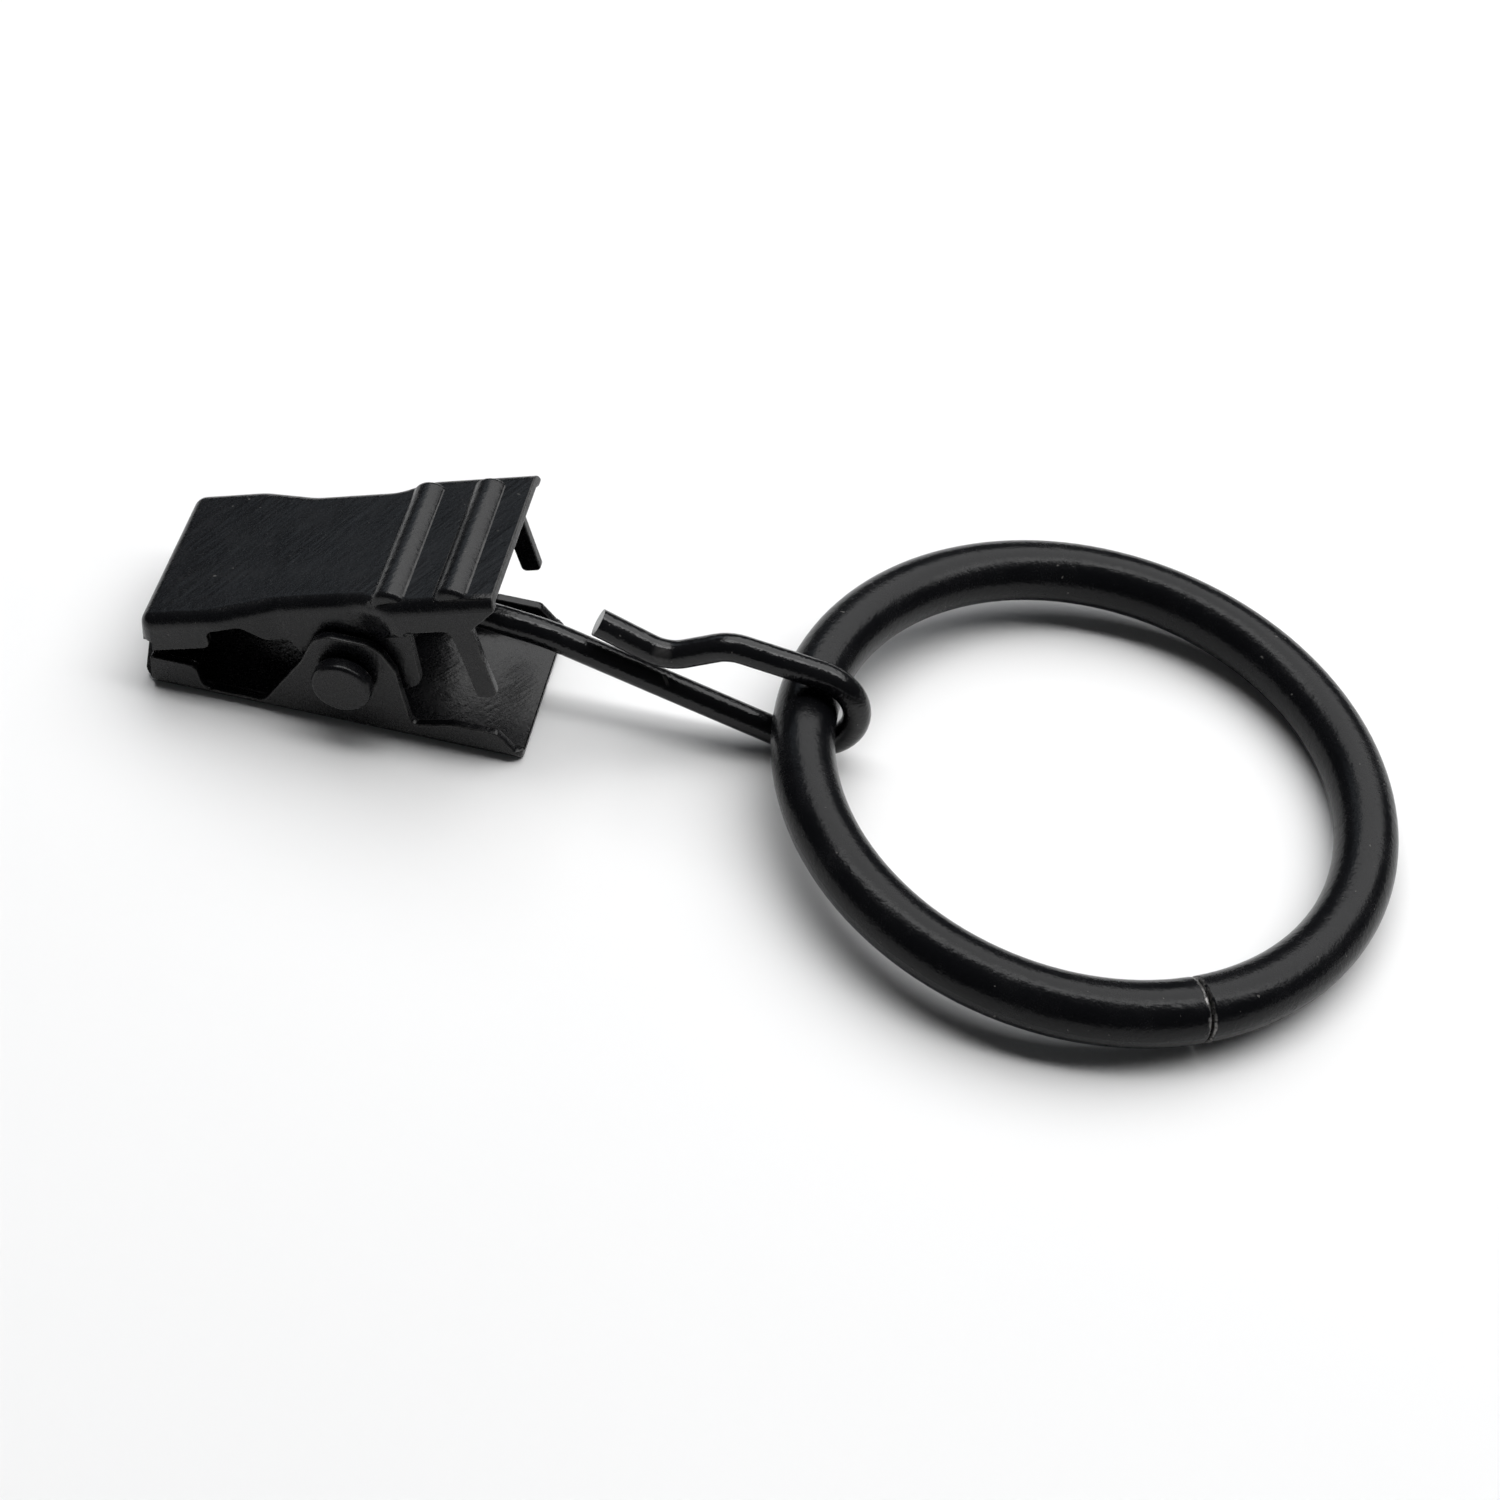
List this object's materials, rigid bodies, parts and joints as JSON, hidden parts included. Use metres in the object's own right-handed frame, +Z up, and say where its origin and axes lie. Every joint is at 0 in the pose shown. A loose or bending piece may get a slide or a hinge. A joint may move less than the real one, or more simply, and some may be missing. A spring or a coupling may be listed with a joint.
{
  "type": "curtain ring with clip",
  "caption": "Black wire curtain ring carrying a wire hook and a sprung sheet-metal clip with toothed jaws, for hanging a curtain from a rod.",
  "frame": {"origin": "middle of the bounding box at the level of the surface it lies on", "axes": "+X runs from the clip's nose to the ring, +Y across the clip, +Z up; the object lies at rest as in the picture"},
  "size_m": [0.0792, 0.04, 0.0136],
  "materials": {
    "ring_paint": "satin black baked paint",
    "hook_paint": "satin black baked paint",
    "clip_paint": "satin black baked paint",
    "rivet_paint": "satin black baked paint",
    "spring_wire": "black coated spring wire"
  },
  "bodies": {
    "ring": {"ring": "ring_paint"},
    "hook": {"hook": "hook_paint"},
    "lower_jaw": {"lower_jaw": "clip_paint", "rivet": "rivet_paint", "spring": "spring_wire"},
    "upper_jaw": {"upper_jaw": "clip_paint"}
  },
  "joints": [
    {"name": "hook_swing", "type": "hinge", "parent": "ring", "child": "hook", "pos_m": [0.00163, 0, 0.00405], "axis": [0, 1, 0], "range_deg": [-120, 120]},
    {"name": "clip_swivel", "type": "hinge", "parent": "hook", "child": "lower_jaw", "pos_m": [-0.02637, 0, 0.0047], "axis": [0, 1, 0], "range_deg": [-18, 5]},
    {"name": "jaw_open", "type": "hinge", "parent": "lower_jaw", "child": "upper_jaw", "pos_m": [-0.02637, 0, 0.0047], "axis": [0, 1, 0], "range_deg": [0, 20], "stiffness_Nm_per_rad": 0.08, "springref_deg": -28.65, "deforming": ["spring"]}
  ]
}
